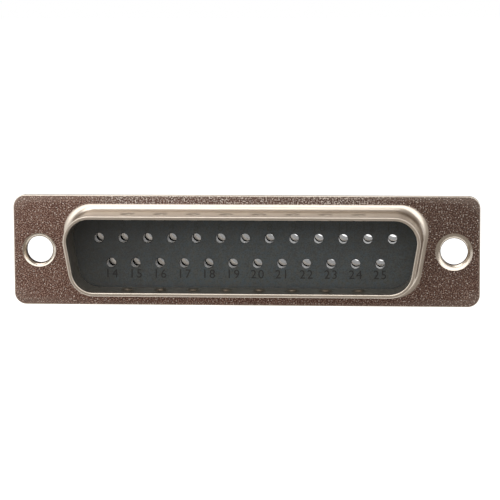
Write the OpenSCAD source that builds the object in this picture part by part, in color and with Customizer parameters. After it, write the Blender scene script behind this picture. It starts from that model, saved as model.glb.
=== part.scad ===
// 25-way D-subminiature plug housing for crimp contacts, supplied without its contacts.
// Two drawn steel shells, joined by two eyelets, hold a two-piece moulded insulator, and the
// insulator holds one sprung retention clip for each contact.
//
// Every piece is drawn with the mating direction along +Z of a working frame (X to the right,
// Y towards the row of thirteen) and stood up at the end, so that the finished part mates
// towards -Y. The origin is the centre of the flange's front face.

/* [Flange] */
// Overall width of both flanges
flange_w = 52.9; // [51.5:0.05:55]
// Overall height of both flanges
flange_h = 12.55; // [12.3:0.05:15]
// Radius of the flange corners
flange_corner_r = 1.4; // [0.5:0.1:2.5]
// Thickness of the front shell's sheet
front_sheet_t = 0.4; // [0.3:0.05:0.5]
// Thickness of the rear shell's sheet
rear_sheet_t = 0.4; // [0.3:0.05:0.5]

/* [Mating shroud] */
// Distance from a mounting hole's centre to the inside of the D-shaped shroud's widest part
hole_to_shroud = 4.04; // [3.9:0.02:4.3]
// Inside height of the shroud
shroud_h = 8.18; // [8:0.02:8.5]
// Height of the shroud above the flange
shroud_len = 5.84; // [4.6:0.02:7]
// Slope of the two slanted sides
side_angle = 10; // [6:0.5:14]
// Inside radius of the shroud's corners
shroud_corner_r = 2.5; // [2:0.1:3]
// Inside radius of the bend where the shroud rises from the flange
shroud_bend_r = 0.7; // [0.4:0.05:0.9]
// Rounding on the edges of the shroud's rim
rim_round = 0.14; // [0.05:0.01:0.14]

/* [Grounding dimples] */
// Distance from one dimple to the next in each long wall of the shroud
dimple_pitch = 3.7; // [2.6:0.1:4]
// Distance from the inside of the shroud's side to its outermost dimple
dimple_inset = 6.53; // [6:0.01:7]
// Diameter of a dimple
dimple_d = 1.8; // [1.2:0.1:2.2]
// How far a dimple is pressed in, from the outside of the wall to a bump on its inside
dimple_depth = 0.24; // [0.12:0.02:0.34]
// Height of the dimples above the flange
dimple_z = 3.2; // [2.6:0.1:3.5]

/* [Mounting eyelets] */
// Distance of a mounting hole's centre from the end of the flange
hole_inset = 2.93; // [2.6:0.01:3.5]
// Bore of the eyelets, which are the mounting holes
hole_d = 3.05; // [2.6:0.05:3.3]
// Wall of an eyelet's tube
eyelet_wall = 0.25; // [0.15:0.05:0.3]
// How far the left eyelet's mouth is flared beyond its bore
left_flare = 0.4; // [0.35:0.01:0.6]
// How far the right eyelet's mouth is flared beyond its bore
right_flare = 0.58; // [0.35:0.01:0.6]
// Depth of the flare
flare_depth = 0.3; // [0.25:0.01:0.35]
// Height of the flared rim over the flange
flare_rim = 0.1; // [0.06:0.01:0.15]
// How far the eyelet's head spreads over the rear flange
head_spread = 0.45; // [0.2:0.05:0.5]
// Thickness of the eyelet's head
head_t = 0.25; // [0.15:0.05:0.3]

/* [Rear collar] */
// How far the collar drawn from the rear flange stands outside the shroud's inner wall, at a side
collar_step = 1.17; // [1.05:0.01:1.3]
// Distance from the flange's long edges to the collar
collar_inset = 0.775; // [0.7:0.005:0.9]
// Outside radius of the collar's corners
rear_corner_r = 3.9; // [3.5:0.1:4.2]
// Depth of the collar behind the rear flange
rear_len = 4.2; // [3.6:0.1:5]
// Inside radius of the bend at the foot of the collar
rear_bend_r = 0.4; // [0.3:0.05:0.6]
// Outside radius of the bend at the end of the collar
rear_lip_r = 0.7; // [0.6:0.05:0.9]
// How far the collar's end is turned in to hold the insulators
rear_lip = 0.8; // [0.6:0.05:1]

/* [Contacts] */
// Distance between neighbouring contacts in a row
contact_pitch = 2.77; // [2.7:0.01:2.8]
// Distance from the inside of the shroud's side to the long row's last contact
contact_inset = 2.86; // [2.6:0.01:3.2]
// Distance between the two rows
row_spacing = 2.84; // [2.76:0.02:2.94]
// Bore for a contact pin in the front insulator
pin_bore_d = 1.07; // [1.04:0.01:1.12]
// Lead-in chamfer on the front of a pin bore
pin_chamfer = 0.06; // [0.03:0.01:0.12]

/* [Insulators] */
// How far the front insulator's face stands proud of the flange
face_proud = 0.12; // [0:0.02:0.5]
// Thickness of the front insulator
front_len = 2.5; // [2.1:0.1:2.8]
// Depth of the rear insulator's back face behind the flange's front face
rear_depth = 10.8; // [9.8:0.1:13]
// Depth of a clip pocket
pocket_len = 4.9; // [4.4:0.1:5.4]
// Diameter of a clip pocket
pocket_d = 2.3; // [2.25:0.01:2.4]
// Diameter of the guide bore behind a clip pocket
guide_d = 2.02; // [1.8:0.02:2.1]
// Lead-in chamfer at the back of a guide bore
guide_chamfer = 0.2; // [0.1:0.02:0.26]
// Chamfer around the back face of the rear insulator
rear_chamfer = 0.4; // [0.2:0.05:0.6]

/* [Retention clips] */
// Wall of a clip
clip_wall = 0.15; // [0.1:0.01:0.18]
// Length of the closed ring at each end of a clip
clip_ring = 0.7; // [0.5:0.1:0.8]
// Inside diameter between the two tine tips
tine_tip_d = 1.24; // [1.16:0.02:1.36]
// Distance of the tine tips behind the front insulator
tine_tip_back = 0.95; // [0.8:0.05:1.1]
// Length of a tine
tine_len = 1.8; // [1.4:0.1:2]
// Angle that each tine spans around the clip
tine_angle = 120; // [80:5:130]
// Angle that the window behind a tine spans around the clip
window_angle = 130; // [90:5:140]
// Width of the seam along a clip
clip_seam = 0.25; // [0.15:0.05:0.4]

/* [Clearances] */
// Gap between an insulator and the shell around it
shell_gap = 0.1; // [0.06:0.02:0.16]
// Gap between an eyelet and its holes in the flanges
eyelet_gap = 0.04; // [0.02:0.01:0.06]
// Gap between a clip and its pocket, at its side and at its ends
clip_gap = 0.05; // [0.03:0.01:0.07]

/* [Hidden] */
// Distance between the two mounting holes, and inside width of the shroud
hole_spacing = flange_w - 2 * hole_inset;
shroud_w = hole_spacing - 2 * hole_to_shroud;
// Outside width and height of the rear collar
rear_w = shroud_w + 2 * collar_step;
rear_h = flange_h - 2 * collar_inset;

// Number of contacts in the long row and in both rows together, and of dimples in a long wall
LONG_ROW = round((shroud_w - 2 * contact_inset) / contact_pitch) + 1;
CONTACTS = 2 * LONG_ROW - 1;
DIMPLES = round((shroud_w - 2 * dimple_inset) / dimple_pitch) + 1;

// Segments in each corner of an outline, in a sheet bend, in the tight inside of the collar's
// lip, in each rounding of the shroud's rim and in the edge of an eyelet's head
CORNER_STEPS = 8;
BEND_STEPS = 5;
LIP_STEPS = 3;
RIM_STEPS = 2;
HEAD_STEPS = 4;
// Segments in a full circle, of the eyelets and of the bores and clips
ROUND = 48;
FINE_ROUND = 32;
// Rows and columns of facets from the middle of a dimple to its edge
DIMPLE_STEPS = 2;
// Offsets from the middle of a dimple at which its facets meet, and all those places along a
// long wall
DIMPLE_OFFSETS = [for (k = [-DIMPLE_STEPS:DIMPLE_STEPS]) k / DIMPLE_STEPS * dimple_d / 2];
DIMPLE_COLUMNS = [for (i = [0:DIMPLES - 1]) for (dx = DIMPLE_OFFSETS)
                      (i - (DIMPLES - 1) / 2) * dimple_pitch + dx];
// Amount by which a piece of a solid runs into the next, and by which a cut runs past a face
JOIN = 0.02;
CUT = 1;

// Depths behind the flange's front face, as heights along the mating direction
front_back_z = -front_sheet_t;
rear_back_z = front_back_z - rear_sheet_t;
rear_end_z = rear_back_z - rear_len;
parting_z = face_proud - front_len;
lip_seat_z = rear_end_z + rear_sheet_t;
pocket_end_z = parting_z - pocket_len;

// How far the shroud's bend reaches from its inner wall
shroud_bend_reach = front_sheet_t + shroud_bend_r;
// Outside radius of an eyelet's tube, and radius of its holes in the flanges
tube_r = hole_d / 2 + eyelet_wall;
flange_hole_r = tube_r + eyelet_gap;
// The clip's outside radius, the inside radius of its sleeve and of its tine tips
clip_r = pocket_d / 2 - clip_gap;
clip_bore_r = clip_r - clip_wall;
tine_tip_r = tine_tip_d / 2;

SHELL_COLOUR = "#8d8580";
REAR_COLOUR = "#a39d97";
EYELET_COLOUR = "#b5afa6";
PLASTIC_COLOUR = "#2b2e31";
CLIP_COLOUR = "#b9a98c";

function clip_name(i) = str("clip_", i < 10 ? "0" : "", i);

// --- outlines -----------------------------------------------------------------------------

// Points of an arc about c, from angle a0 to a1
function arc(c, r, a0, a1, steps) =
    [for (i = [0:steps]) let (a = a0 + (a1 - a0) * i / steps) c + r * [cos(a), sin(a)]];

// A D-shaped outline: two level sides, two sides that slope in towards the bottom, and four
// equal corners. out moves the whole outline outwards. upper and lower are points that lie
// along the level sides, from left to right
function d_outline(w, h, r, out = 0, upper = [], lower = []) =
    let (top = [w / 2 - r, h / 2 - r],
         low = [top[0] - (h - 2 * r) * tan(side_angle), -top[1]],
         s = side_angle)
    concat(arc([low[0], low[1]], r + out, -90, -s, CORNER_STEPS),
           arc([top[0], top[1]], r + out, -s, 90, CORNER_STEPS),
           reversed(upper),
           arc([-top[0], top[1]], r + out, 90, 180 + s, CORNER_STEPS),
           arc([-low[0], low[1]], r + out, 180 + s, 270, CORNER_STEPS),
           lower);

function reversed(points) = [for (i = [len(points) - 1:-1:0]) points[i]];

function shroud_outline(out = 0) = d_outline(shroud_w, shroud_h, shroud_corner_r, out);

// How far a long wall is pressed in at x and z, which is a bowl at each dimple
function pressed(x, z) =
    let (i = round(x / dimple_pitch + (DIMPLES - 1) / 2),
         dx = x - (i - (DIMPLES - 1) / 2) * dimple_pitch,
         away = norm([dx, z - dimple_z]) / (dimple_d / 2))
    away >= 1 ? 0 : dimple_depth * (1 - away * away);

// A ring of the shroud's wall at height z, with the dimples in its long walls
function shroud_ring(out, z) =
    let (y = shroud_h / 2 + out)
    d_outline(shroud_w, shroud_h, shroud_corner_r, out,
              [for (x = DIMPLE_COLUMNS) [x, y - pressed(x, z)]],
              [for (x = DIMPLE_COLUMNS) [x, pressed(x, z) - y]]);

function rear_outline(out = 0) = d_outline(rear_w, rear_h, rear_corner_r, out);

module slab(points, z0, z1) {
    translate([0, 0, z0])
        linear_extrude(height = z1 - z0)
            polygon(points);
}

// The flange's outline, a rectangle with rounded corners, with as many points as a D that has
// points at the given columns of its level sides
function flange_outline(columns = []) =
    let (x = flange_w / 2 - flange_corner_r,
         y = flange_h / 2 - flange_corner_r)
    concat(arc([x, -y], flange_corner_r, -90, 0, CORNER_STEPS),
           arc([x, y], flange_corner_r, 0, 90, CORNER_STEPS),
           [for (c = reversed(columns)) [c, flange_h / 2]],
           arc([-x, y], flange_corner_r, 90, 180, CORNER_STEPS),
           arc([-x, -y], flange_corner_r, 180, 270, CORNER_STEPS),
           [for (c = columns) [c, -flange_h / 2]]);

// A solid between two outlines of equally many points
module taper(lower, upper, z0, z1) {
    n = len(lower);
    points = concat([for (p = lower) [p[0], p[1], z0]],
                    [for (p = upper) [p[0], p[1], z1]]);
    sides = [for (j = [0:n - 1]) let (k = (j + 1) % n) [j, n + j, n + k, k]];
    polyhedron(points, concat([[for (j = [0:n - 1]) j],
                               [for (j = [0:n - 1]) 2 * n - 1 - j]], sides));
}

// A closed wall through rings of equally many points, each level at its own height. The rings
// go once round the wall's section
module ring_wall(rings, heights) {
    n = len(rings[0]);
    m = len(rings);
    points = [for (i = [0:m - 1]) for (p = rings[i]) [p[0], p[1], heights[i]]];
    faces = [for (i = [0:m - 1]) for (j = [0:n - 1])
                 let (i2 = (i + 1) % m, j2 = (j + 1) % n)
                 [i * n + j, i2 * n + j, i2 * n + j2, i * n + j2]];
    polyhedron(points, faces);
}

// --- contact positions --------------------------------------------------------------------

// Contact i counts from the left of the long row, then from the left of the short row
function contact_at(i) =
    i <= LONG_ROW
        ? [(i - (LONG_ROW + 1) / 2) * contact_pitch, row_spacing / 2]
        : [(i - LONG_ROW - LONG_ROW / 2) * contact_pitch, -row_spacing / 2];

module at_contacts() {
    for (i = [1:CONTACTS])
        translate(contact_at(i))
            children();
}

// --- shells -------------------------------------------------------------------------------

// Section of the drawn shroud as [out, height], from the back of the flange over the rim to
// its front: out is measured from the shroud's inner wall
function shroud_section() =
    let (t = front_sheet_t,
         bend = [shroud_bend_reach, shroud_bend_r],
         top = shroud_len - rim_round)
    concat(arc(bend, shroud_bend_r + t, 270, 180, BEND_STEPS),
           [for (dz = DIMPLE_OFFSETS) [0, dimple_z + dz]],
           arc([rim_round, top], rim_round, 180, 90, RIM_STEPS),
           arc([t - rim_round, top], rim_round, 90, 0, RIM_STEPS),
           [for (dz = DIMPLE_OFFSETS) [t, dimple_z - dz]],
           arc(bend, shroud_bend_r, 180, 270, BEND_STEPS));

// Section of the rear collar as [out, height], from the back of the flange round the
// turned-in lip to its front: out is measured from the collar's outer wall
function collar_section() =
    let (t = rear_sheet_t,
         bend = [rear_bend_r, rear_back_z - rear_bend_r],
         lip = [-rear_lip_r, rear_end_z + rear_lip_r])
    concat(arc(bend, rear_bend_r, 90, 180, BEND_STEPS),
           arc(lip, rear_lip_r, 0, -90, BEND_STEPS),
           [[-t - rear_lip, rear_end_z],
            [-t - rear_lip, lip_seat_z]],
           arc(lip, rear_lip_r - t, -90, 0, LIP_STEPS),
           arc(bend, rear_bend_r + t, 180, 90, BEND_STEPS));

function heights(section) = [for (p = section) p[1]];

module at_hole(side) {
    translate([side * hole_spacing / 2, 0, 0])
        children();
}

module eyelet_holes(back_z, front_z) {
    for (side = [-1, 1])
        at_hole(side)
            translate([0, 0, back_z - CUT])
                cylinder(r = flange_hole_r, h = front_z - back_z + 2 * CUT, $fn = ROUND);
}

module front_shell() {
    section = shroud_section();
    color(SHELL_COLOUR)
        difference() {
            ring_wall(concat([flange_outline(DIMPLE_COLUMNS), flange_outline(DIMPLE_COLUMNS)],
                             [for (p = section) shroud_ring(p[0], p[1])]),
                      concat([0, front_back_z], heights(section)));
            eyelet_holes(front_back_z, 0);
        }
}

module rear_shell() {
    section = collar_section();
    color(REAR_COLOUR)
        difference() {
            ring_wall(concat([for (p = section) rear_outline(p[0])],
                             [flange_outline(), flange_outline()]),
                      concat(heights(section), [front_back_z, rear_back_z]));
            eyelet_holes(rear_back_z, front_back_z);
        }
}

// A hollow rivet through both flanges: a flared mouth in front and a flat head behind
module eyelet(flare) {
    bore_r = hole_d / 2;
    head_r = tube_r + head_spread;
    head_z = rear_back_z - head_t;
    round_r = head_t / 2;
    // The mouth is a quarter of an ellipse from the bore to the rim
    mouth = [for (i = [0:BEND_STEPS]) let (a = 90 * i / BEND_STEPS)
                 [bore_r + flare * (1 - cos(a)), flare_rim - flare_depth * (1 - sin(a))]];
    color(EYELET_COLOUR)
        rotate_extrude($fn = ROUND)
            polygon(concat([[bore_r, head_z]],
                           mouth,
                           [[bore_r + flare, 0],
                            [tube_r, 0],
                            [tube_r, rear_back_z]],
                           arc([head_r - round_r, head_z + round_r], round_r, 90, -90,
                               HEAD_STEPS)));
}

module eyelet_left() {
    at_hole(-1)
        eyelet(left_flare);
}

module eyelet_right() {
    at_hole(1)
        eyelet(right_flare);
}

// --- insulators ---------------------------------------------------------------------------

// How far an insulator's shoulder stands inside the collar's outer wall
shoulder_in = rear_sheet_t + shell_gap;
body_in = rear_sheet_t + rear_lip + shell_gap;

module front_insulator() {
    color(PLASTIC_COLOUR)
        difference() {
            union() {
                slab(shroud_outline(-shell_gap), front_back_z - JOIN, face_proud);
                slab(rear_outline(-shoulder_in), parting_z, front_back_z);
            }
            at_contacts() {
                translate([0, 0, parting_z - CUT])
                    cylinder(d = pin_bore_d, h = front_len + 2 * CUT, $fn = FINE_ROUND);
                translate([0, 0, face_proud - pin_chamfer])
                    cylinder(d1 = pin_bore_d, d2 = pin_bore_d + 4 * pin_chamfer,
                             h = 2 * pin_chamfer, $fn = FINE_ROUND);
            }
        }
}

module rear_insulator() {
    back_z = -rear_depth;
    // The shoulder is chamfered where it sits in the round inner corner of the collar's lip
    shoulder_z = lip_seat_z + rear_lip_r - rear_sheet_t;
    color(PLASTIC_COLOUR)
        difference() {
            union() {
                slab(rear_outline(-shoulder_in), shoulder_z, parting_z);
                taper(rear_outline(-rear_lip_r), rear_outline(-shoulder_in),
                      lip_seat_z, shoulder_z);
                slab(rear_outline(-body_in), back_z + rear_chamfer, lip_seat_z + JOIN);
                taper(rear_outline(-body_in - rear_chamfer), rear_outline(-body_in),
                      back_z, back_z + rear_chamfer);
            }
            at_contacts() {
                translate([0, 0, pocket_end_z])
                    cylinder(d = pocket_d, h = pocket_len + CUT, $fn = FINE_ROUND);
                translate([0, 0, back_z - CUT])
                    cylinder(d = guide_d, h = rear_depth, $fn = FINE_ROUND);
                translate([0, 0, back_z - guide_chamfer])
                    cylinder(d1 = guide_d + 4 * guide_chamfer, d2 = guide_d,
                             h = 2 * guide_chamfer, $fn = FINE_ROUND);
            }
        }
}

// --- retention clips ----------------------------------------------------------------------

// A clip is a seamed sleeve with two windows, and a tine bent in from each window so that
// its tip closes behind the contact's shoulder
module clip(i) {
    front_z = parting_z - clip_gap;
    back_z = pocket_end_z + clip_gap;
    translate(contact_at(i))
        color(CLIP_COLOUR) {
            clip_sleeve(front_z, back_z);
            clip_tines(parting_z - tine_tip_back);
        }
}

module clip_sleeve(front_z, back_z) {
    window_z = parting_z - tine_tip_back - tine_len;
    difference() {
        translate([0, 0, back_z])
            cylinder(r = clip_r, h = front_z - back_z, $fn = FINE_ROUND);
        translate([0, 0, back_z - CUT])
            cylinder(r = clip_bore_r, h = front_z - back_z + 2 * CUT, $fn = FINE_ROUND);
        translate([0, -clip_seam / 2, back_z - CUT])
            cube([pocket_d, clip_seam, front_z - back_z + 2 * CUT]);
        for (a = [90, -90])
            rotate([0, 0, a])
                translate([0, 0, window_z])
                    sector(clip_r + JOIN, window_angle, front_z - clip_ring - window_z);
    }
}

// The two tines, each a part of a cone that widens towards the back
module clip_tines(tip_z) {
    root_z = tip_z - tine_len;
    intersection() {
        rotate_extrude($fn = FINE_ROUND)
            polygon([[tine_tip_r, tip_z],
                     [clip_bore_r, root_z],
                     [clip_bore_r, root_z - clip_wall],
                     [clip_r, root_z - clip_wall],
                     [clip_r, root_z],
                     [tine_tip_r + clip_wall, tip_z]]);
        for (a = [90, -90])
            rotate([0, 0, a])
                translate([0, 0, root_z - clip_wall])
                    sector(clip_r + JOIN, tine_angle, tine_len + 2 * clip_wall);
    }
}

// A wedge of the given angle, symmetric about +X
module sector(r, angle, h) {
    reach = 2 * r;
    linear_extrude(height = h)
        polygon([[0, 0],
                 [reach * cos(angle / 2), -reach * sin(angle / 2)],
                 [reach, -reach * sin(angle / 2)],
                 [reach, reach * sin(angle / 2)],
                 [reach * cos(angle / 2), reach * sin(angle / 2)]]);
}

// --- assembly -----------------------------------------------------------------------------

// Stands a piece up, so that the mating direction is -Y and the long row is uppermost
module stood_up() {
    rotate([90, 0, 0])
        children();
}

stood_up() front_shell();
stood_up() rear_shell();
stood_up() eyelet_left();
stood_up() eyelet_right();
stood_up() front_insulator();
stood_up() rear_insulator();
for (i = [1:CONTACTS])
    stood_up() clip(i);
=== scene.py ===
"""Looks of a 25-way D-subminiature plug housing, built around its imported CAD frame.

The frame's mating direction is -Y, the row of thirteen is the upper one, and the origin is
the centre of the flange's front face. Every size is in metres.
"""

import math

import bmesh
import bpy
from bpy.props import FloatProperty, FloatVectorProperty, IntProperty, PointerProperty
from mathutils import Matrix, Vector
from mathutils.geometry import tessellate_polygon


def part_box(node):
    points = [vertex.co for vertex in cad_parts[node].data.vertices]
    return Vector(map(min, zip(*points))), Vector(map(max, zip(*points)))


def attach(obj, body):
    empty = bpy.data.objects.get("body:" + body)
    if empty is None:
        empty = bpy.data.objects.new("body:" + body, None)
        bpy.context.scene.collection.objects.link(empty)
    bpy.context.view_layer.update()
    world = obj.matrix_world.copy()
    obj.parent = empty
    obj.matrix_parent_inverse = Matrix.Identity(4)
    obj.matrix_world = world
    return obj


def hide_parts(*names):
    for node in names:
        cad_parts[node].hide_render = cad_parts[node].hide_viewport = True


bl_info = {
    "name": "D-sub plug housing",
    "version": (1, 0, 0),
    "blender": (4, 5, 0),
    "location": "View3D > Sidebar > Connector",
    "description": "Builds the shells, eyelets, insulators, clips and stage of a plug housing",
    "category": "Object",
}

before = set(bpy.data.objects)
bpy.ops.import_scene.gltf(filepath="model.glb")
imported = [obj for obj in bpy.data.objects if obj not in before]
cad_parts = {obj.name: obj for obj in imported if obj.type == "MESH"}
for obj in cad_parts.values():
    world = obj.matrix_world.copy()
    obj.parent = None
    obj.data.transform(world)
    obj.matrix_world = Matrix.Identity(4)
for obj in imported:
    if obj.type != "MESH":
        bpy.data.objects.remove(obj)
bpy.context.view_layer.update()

FRONT_LOW, FRONT_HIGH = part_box("front_shell")
REAR_LOW, REAR_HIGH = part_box("rear_shell")
NOSE_LOW, NOSE_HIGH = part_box("front_insulator")
BLOCK_LOW, BLOCK_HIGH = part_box("rear_insulator")
LEFT_LOW, LEFT_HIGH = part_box("eyelet_left")
RIGHT_LOW, RIGHT_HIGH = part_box("eyelet_right")
CLIP_LOW, CLIP_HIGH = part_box("clip_01")
CLIPS = sorted(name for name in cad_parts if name.startswith("clip_"))
LONG_ROW = (len(CLIPS) + 1) // 2

CORNER_STEPS = 24
BEND_STEPS = 12
RIM_STEPS = 5
EDGE_STEPS = 4
HOLE_STEPS = 72
BORE_STEPS = 40
LATHE_STEPS = 128
WALL_STEP = 0.00012  # from point to point on the dimpled walls
SHARP_ANGLE = math.radians(35)  # an edge that turns by more than this stays crisp
MOUTH_BEND = 0.3  # where an eyelet's mouth bends, from 0 for a sharp corner to 0.5 for a cone
FIGURE_HEIGHT = 0.725  # height of a figure in the built-in face, as a share of the text's size
FIGURE_SPACE = 1.2  # space from figure to figure, as a share of the face's own
FIGURE_STEPS = 4
UPPER_ROW_SHADE = 0.38  # painted shade: how far the upper row's numbers, in the top wall's shadow, fade into the paler skin around them
DUST_AND_LIGHT_GAIN = 1.6  # how much paler the bores and numbers get where the dust and painted light are full
MIX_COLOURS = (6, 7)  # sockets of the Mix node that take its two colours
MIXED = 2  # and the one that gives the mixed colour

# Scales of the finishes' noises, in waves to the metre
GRAIN_WAVES = 8200.0
GLINT_WAVES = 6300.0
STRIP_GRAIN_WAVES = 5600.0
PLATING_WAVES = 620.0
SKIN_WAVES = 6500.0
TINT_WAVES = 2400.0
BLOOM_WAVES = 420.0

# Where a finish changes along an axis, from its start to where the change is complete
# The flat's brown is a painted reflection of the dim room in front
FLAT_Y = (-0.0004, -0.00005)  # the flange lies behind the shroud's drawn walls,
FLAT_FACING = (-0.980, -0.997)  # and its flat faces the mating side squarely
FLANGE_SHADE_X = (-0.006, 0.020)  # painted shade darkens the flange towards its right end,
FLANGE_SHADE_Z = (-0.005, 0.002)  # and most of all in its upper half
STRIP_Z = (0.0042, 0.0050)  # painted light, bounced off the shroud's top wall, brightens the flange above it,
STRIP_X = (0.0185, 0.0150)  # between the shroud's corners,
STRIP_FADE_X = (-0.008, 0.004)  # and a little less on the right
PAINTED_LIGHT_Z = (0.0042, -0.0036)  # painted light makes the moulding paler downwards, out of the top wall's shadow,
PAINTED_SHADE_LEFT_X = (-0.0180, -0.0060)  # painted shade darkens its left end,
PAINTED_SHADE_RIGHT_X = (0.004, 0.018)  # and darkens it a little towards the right end

# Finish of the steel: the drawn walls and the flat of the flange
WALL_ROUGHNESS = 0.29
FLAT_ROUGHNESS = 0.42
FLAT_METALLIC = 0.4


# --- sizes and colours -------------------------------------------------------------------


def length(name, text, value):
    """A property that holds a length in metres."""
    return FloatProperty(name=name, description=text, default=value, unit="LENGTH", precision=5)


def colour(name, text, value):
    """A property that holds a colour."""
    return FloatVectorProperty(
        name=name, description=text, default=value, subtype="COLOR", size=3, min=0, max=1
    )


class ShellSizes(bpy.types.PropertyGroup):
    """Sizes of the two drawn shells"""

    sheet: length("Sheet", "Thickness of each shell's sheet", FRONT_HIGH[1])
    corner: length("Flange corner", "Radius of the flange's corners", 0.0014)
    edge: length("Sheared edge", "Rounding of the sheared edges", 0.00010)
    shroud_width: length("Shroud width", "Inside width of the shroud", 0.03896)
    shroud_height: length("Shroud height", "Inside height of the shroud", 0.00818)
    shroud_corner: length("Shroud corner", "Inside radius of the shroud's corners", 0.0025)
    shroud_bend: length("Shroud bend", "Inside radius of the bend at the shroud's foot", 0.0009)
    corner_spread: FloatProperty(
        name="Corner spread",
        description="Share of its usual growth that a corner's radius has at the shroud's foot",
        default=0.15,
        min=0,
        max=1,
        subtype="FACTOR",
    )
    rim: length("Rim", "Rounding on the edges of the rim", 0.00011)
    slope: FloatProperty(
        name="Side slope",
        description="Slope of the two slanted sides",
        default=math.radians(10),
        subtype="ANGLE",
    )
    collar_corner: length("Collar corner", "Outside radius of the collar's corners", 0.0039)
    collar_bend: length("Collar bend", "Inside radius of the bend at the collar's foot", 0.0004)
    lip_radius: length("Lip bend", "Outside radius of the bend at the collar's end", 0.0007)
    lip: length("Lip", "How far the collar's end is turned in", 0.0008)


class DimpleSizes(bpy.types.PropertyGroup):
    """Sizes of the grounding dimples"""

    count: IntProperty(name="Dimples", description="Dimples in each long wall", default=8, min=1)
    pitch: length("Pitch", "Distance from one dimple to the next", 0.0037)
    radius: length("Radius", "Radius of a dimple on the outside of the wall", 0.0009)
    depth: length("Depth", "Depth of a dimple", 0.00028)
    height: length("Height", "Height of the dimples above the flange", 0.0032)
    flank: FloatProperty(
        name="Flank",
        description="Share of a dimple's radius that its sloping flank takes up",
        default=0.45,
        min=0.1,
        max=1,
        subtype="FACTOR",
    )


class InsulatorSizes(bpy.types.PropertyGroup):
    """Sizes of the moulded insulators"""

    pitch: length("Pitch", "Distance between neighbouring contacts", 0.00277)
    row_spacing: length("Row spacing", "Distance between the two rows", 0.00284)
    gap: length("Gap", "Gap between an insulator and the shell around it", 0.0001)
    nose_out: length("Nose", "How far the front one's nose reaches into the bend", 0.00015)
    bore: length("Pin bore", "Radius of a pin bore", 0.000535)
    bore_chamfer: length("Pin bore chamfer", "Lead-in chamfer of a pin bore", 0.00006)
    # painted shade: past this share of its depth a pin bore is matt black, standing for the dark
    # gap behind it
    polish: FloatProperty(
        name="Polished bore",
        description="Share of a pin bore's depth that its core pin left polished",
        default=0.66,
        min=0,
        max=1,
        subtype="FACTOR",
    )
    pocket_radius: length("Pocket radius", "Radius of a clip pocket", 0.00115)
    guide_radius: length("Guide radius", "Radius of a guide bore", 0.00101)
    guide_chamfer: length("Guide chamfer", "Lead-in chamfer of a guide bore", 0.0002)
    back_chamfer: length("Back chamfer", "Chamfer around the back face", 0.0004)
    digit_height: length("Digit height", "Height of the contact numbers", 0.00102)
    digit_relief: length("Digit relief", "How far the numbers stand out", 0.00003)
    digit_drop: length("Digit drop", "Distance from a contact to the middle of its number", 0.00126)


class EyeletSizes(bpy.types.PropertyGroup):
    """Sizes of the two hollow rivets"""

    bore: length("Bore", "Radius of an eyelet's bore", 0.001525)
    wall: length("Wall", "Wall of an eyelet's tube", 0.00025)
    flare_depth: length("Flare depth", "Depth of the flared mouth", 0.0003)
    left_flare: length("Left flare", "How far the left mouth is flared", 0.0004)
    right_flare: length("Right flare", "How far the right mouth is flared", 0.00058)
    head: length("Head", "Thickness of an eyelet's head", 0.00025)
    clearance: length("Clearance", "Gap between an eyelet and its holes", 0.00004)


class FinishColours(bpy.types.PropertyGroup):
    """Colours of the plated steel, the mouldings and the clips"""

    nickel: colour("Nickel", "Plating on the drawn walls", (0.62, 0.55, 0.47))
    # painted reflection: the dull brown of the flange's flat stands for the dim room reflected in
    # it; its bright flecks are real grain
    flange: colour("Flange", "Dull plating, left end", (0.070, 0.024, 0.014))
    fleck: colour("Fleck", "Bright grains, left end", (0.440, 0.280, 0.210))
    # painted shade: darker copies of the flange and fleck colours for the flange's right end
    flange_dark: colour("Dark flange", "Dull plating, right end", (0.042, 0.016, 0.009))
    fleck_dark: colour("Dark fleck", "Bright grains, right end", (0.250, 0.160, 0.117))
    # painted highlight: the colour of the painted glints and of the painted bounce light above the
    # shroud
    burnish: colour("Burnish", "Grains that shine, or are rubbed bright", (0.74, 0.66, 0.58))
    # painted shade: the colour of the inside of an eyelet's bore
    bore: colour("Bare bore", "Unplated inside of an eyelet", (0.060, 0.048, 0.040))
    rear: colour("Rear plating", "Plating of the rear shell, and dull clouds", (0.50, 0.45, 0.385))
    plastic: colour("Plastic", "Black moulding", (0.0160, 0.0165, 0.0155))
    # pale colour of real dust, also laid on where painted light falls lower down
    plastic_worn: colour("Dusty plastic", "Paler bloom on the moulding", (0.062, 0.068, 0.063))
    plastic_blue: colour("Blue bloom", "Bluer patches of the bloom", (0.050, 0.070, 0.080))
    # painted shade: the matt black end of each pin bore, standing for the dark gap behind it
    matt_bore: colour("Matt bore", "Unpolished end of a pin bore", (0.006, 0.0065, 0.007))
    clip: colour("Clip", "Tinned brass of the clips", (0.72, 0.64, 0.54))
    floor: colour("Floor", "Floor and soft box of the studio", (0.88, 0.88, 0.88))
    room: colour("Room", "Dim wall and ceiling of the studio", (0.42, 0.38, 0.35))
    card: colour("Card", "Dim card on the floor in front", (0.34, 0.31, 0.28))


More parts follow.
